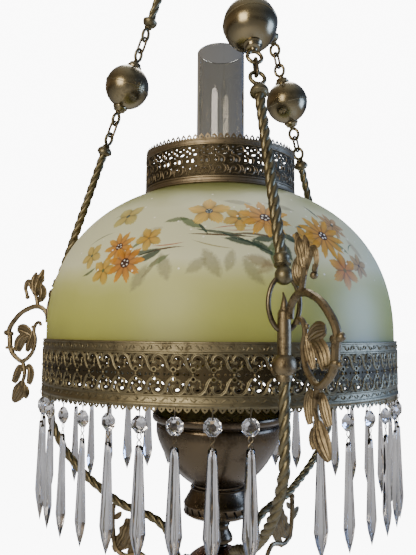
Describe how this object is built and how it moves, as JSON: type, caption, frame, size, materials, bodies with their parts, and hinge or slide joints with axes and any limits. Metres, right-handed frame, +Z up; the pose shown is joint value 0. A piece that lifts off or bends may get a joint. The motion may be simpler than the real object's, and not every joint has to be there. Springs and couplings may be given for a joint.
{
  "type": "hanging oil lamp",
  "caption": "Hanging oil lamp: glass dome in a pierced brass gallery with cut glass drops, drop-in font, and arms hung from rods and balls.",
  "frame": {"origin": "centre of the ceiling plate's top face, where the lamp meets the ceiling", "axes": "+Z up; the front arm lies along -Y and the other two are 120 degrees round from it"},
  "size_m": [0.478, 0.4616, 1.0412],
  "materials": {
    "antique_brass": "aged, cast and stamped brass with dark recesses",
    "dark_brass": "dark patinated brass",
    "bright_brass": "spun brass, still reflective",
    "shade_glass": "satin glass, hand painted with flowers",
    "clear_glass": "clear, cut and polished",
    "wick_cotton": "woven cotton"
  },
  "bodies": {
    "ceiling": {"ceiling_plate": "antique_brass", "ceiling_hook": "dark_brass"},
    "hanger": {"hanger_link": "dark_brass"},
    "lamp_frame": {"chain_crown": "antique_brass", "upper_rod_1": "antique_brass", "upper_link_1": "dark_brass", "chain_ball_1": "antique_brass", "lower_link_1": "dark_brass", "lower_rod_1": "antique_brass", "bail_1": "dark_brass", "arm_1": "antique_brass", "upper_bracket_1": "antique_brass", "lower_bracket_1": "antique_brass", "upper_rod_2": "antique_brass", "upper_link_2": "dark_brass", "chain_ball_2": "antique_brass", "lower_link_2": "dark_brass", "lower_rod_2": "antique_brass", "bail_2": "dark_brass", "arm_2": "antique_brass", "upper_bracket_2": "antique_brass", "lower_bracket_2": "antique_brass", "upper_rod_3": "antique_brass", "upper_link_3": "dark_brass", "chain_ball_3": "antique_brass", "lower_link_3": "dark_brass", "lower_rod_3": "antique_brass", "bail_3": "dark_brass", "arm_3": "antique_brass", "upper_bracket_3": "antique_brass", "lower_bracket_3": "antique_brass", "shade_gallery": "antique_brass", "font_holder": "antique_brass", "vase_stem": "antique_brass", "hub_ball": "dark_brass", "tie_rod": "dark_brass", "bottom_finial": "antique_brass", "drop_row_1": "clear_glass", "drop_row_2": "clear_glass"},
    "shade": {"glass_shade": "shade_glass", "shade_crown": "antique_brass"},
    "font": {"font": "bright_brass", "burner": "antique_brass", "flame_spreader": "bright_brass"},
    "chimney": {"chimney": "clear_glass"},
    "wick": {"wick": "wick_cotton"},
    "wick_knob": {"wick_knob": "bright_brass"},
    "filler_cap": {"filler_cap": "bright_brass"},
    "drop_01": {"drop_01": "clear_glass"},
    "drop_02": {"drop_02": "clear_glass"},
    "drop_03": {"drop_03": "clear_glass"},
    "drop_04": {"drop_04": "clear_glass"},
    "drop_05": {"drop_05": "clear_glass"},
    "drop_06": {"drop_06": "clear_glass"},
    "drop_07": {"drop_07": "clear_glass"},
    "drop_08": {"drop_08": "clear_glass"},
    "drop_09": {"drop_09": "clear_glass"},
    "drop_10": {"drop_10": "clear_glass"},
    "drop_11": {"drop_11": "clear_glass"},
    "drop_12": {"drop_12": "clear_glass"}
  },
  "joints": [
    {"name": "hanger_swing", "type": "hinge", "parent": "ceiling", "child": "hanger", "pos_m": [0, 0, -0.045], "axis": [1, 0, 0], "range_deg": [-10, 10]},
    {"name": "lamp_swing", "type": "hinge", "parent": "hanger", "child": "lamp_frame", "pos_m": [0, 0, -0.0748], "axis": [0, 1, 0], "range_deg": [-10, 10]},
    {"name": "shade_lift", "type": "slide", "parent": "lamp_frame", "child": "shade", "axis": [0, 0, 1], "range_m": [0, 0.06]},
    {"name": "font_lift", "type": "slide", "parent": "lamp_frame", "child": "font", "axis": [0, 0, 1], "range_m": [0, 0.03]},
    {"name": "chimney_lift", "type": "slide", "parent": "font", "child": "chimney", "axis": [0, 0, 1], "range_m": [0, 0.1]},
    {"name": "wick_knob_turn", "type": "hinge", "parent": "font", "child": "wick_knob", "pos_m": [-0.03897, -0.0225, -0.7275], "axis": [-0.866, -0.5, 0], "range_deg": [-300, 120]},
    {"name": "wick_raise", "type": "slide", "parent": "font", "child": "wick", "axis": [0, 0, 1], "range_m": [-0.0101, 0.0041]},
    {"name": "filler_cap_turn", "type": "hinge", "parent": "font", "child": "filler_cap", "pos_m": [0.025, 0.0433, -0.742], "axis": [0, 0, 1], "range_deg": [0, 270]},
    {"name": "drop_swing_01", "type": "hinge", "parent": "lamp_frame", "child": "drop_01", "pos_m": [-0.17485, 0.05536, -0.741], "axis": [-0.3019, -0.9534, 0], "range_deg": [-15, 15]},
    {"name": "drop_swing_02", "type": "hinge", "parent": "lamp_frame", "child": "drop_02", "pos_m": [-0.18146, 0.0266, -0.741], "axis": [-0.145, -0.9894, 0], "range_deg": [-15, 15]},
    {"name": "drop_swing_03", "type": "hinge", "parent": "lamp_frame", "child": "drop_03", "pos_m": [-0.18338, -0.00286, -0.741], "axis": [0.0156, -0.9999, 0], "range_deg": [-15, 15]},
    {"name": "drop_swing_04", "type": "hinge", "parent": "lamp_frame", "child": "drop_04", "pos_m": [-0.18055, -0.03223, -0.741], "axis": [0.1758, -0.9844, 0], "range_deg": [-15, 15]},
    {"name": "drop_swing_05", "type": "hinge", "parent": "lamp_frame", "child": "drop_05", "pos_m": [-0.17304, -0.06078, -0.741], "axis": [0.3314, -0.9435, 0], "range_deg": [-15, 15]},
    {"name": "drop_swing_06", "type": "hinge", "parent": "lamp_frame", "child": "drop_06", "pos_m": [-0.16105, -0.08775, -0.741], "axis": [0.4785, -0.8781, 0], "range_deg": [-15, 15]},
    {"name": "drop_swing_07", "type": "hinge", "parent": "lamp_frame", "child": "drop_07", "pos_m": [-0.14488, -0.11245, -0.741], "axis": [0.6131, -0.79, 0], "range_deg": [-15, 15]},
    {"name": "drop_swing_08", "type": "hinge", "parent": "lamp_frame", "child": "drop_08", "pos_m": [-0.12497, -0.13423, -0.741], "axis": [0.7319, -0.6814, 0], "range_deg": [-15, 15]},
    {"name": "drop_swing_09", "type": "hinge", "parent": "lamp_frame", "child": "drop_09", "pos_m": [-0.10182, -0.15254, -0.741], "axis": [0.8317, -0.5552, 0], "range_deg": [-15, 15]},
    {"name": "drop_swing_10", "type": "hinge", "parent": "lamp_frame", "child": "drop_10", "pos_m": [-0.07603, -0.1669, -0.741], "axis": [0.91, -0.4146, 0], "range_deg": [-15, 15]},
    {"name": "drop_swing_11", "type": "hinge", "parent": "lamp_frame", "child": "drop_11", "pos_m": [-0.04828, -0.17693, -0.741], "axis": [0.9647, -0.2632, 0], "range_deg": [-15, 15]},
    {"name": "drop_swing_12", "type": "hinge", "parent": "lamp_frame", "child": "drop_12", "pos_m": [-0.01927, -0.18238, -0.741], "axis": [0.9945, -0.1051, 0], "range_deg": [-15, 15]}
  ],
  "couplings": [
    {"joint": "wick_raise", "follows": "wick_knob_turn", "m_per_rad": 0.0019}
  ]
}
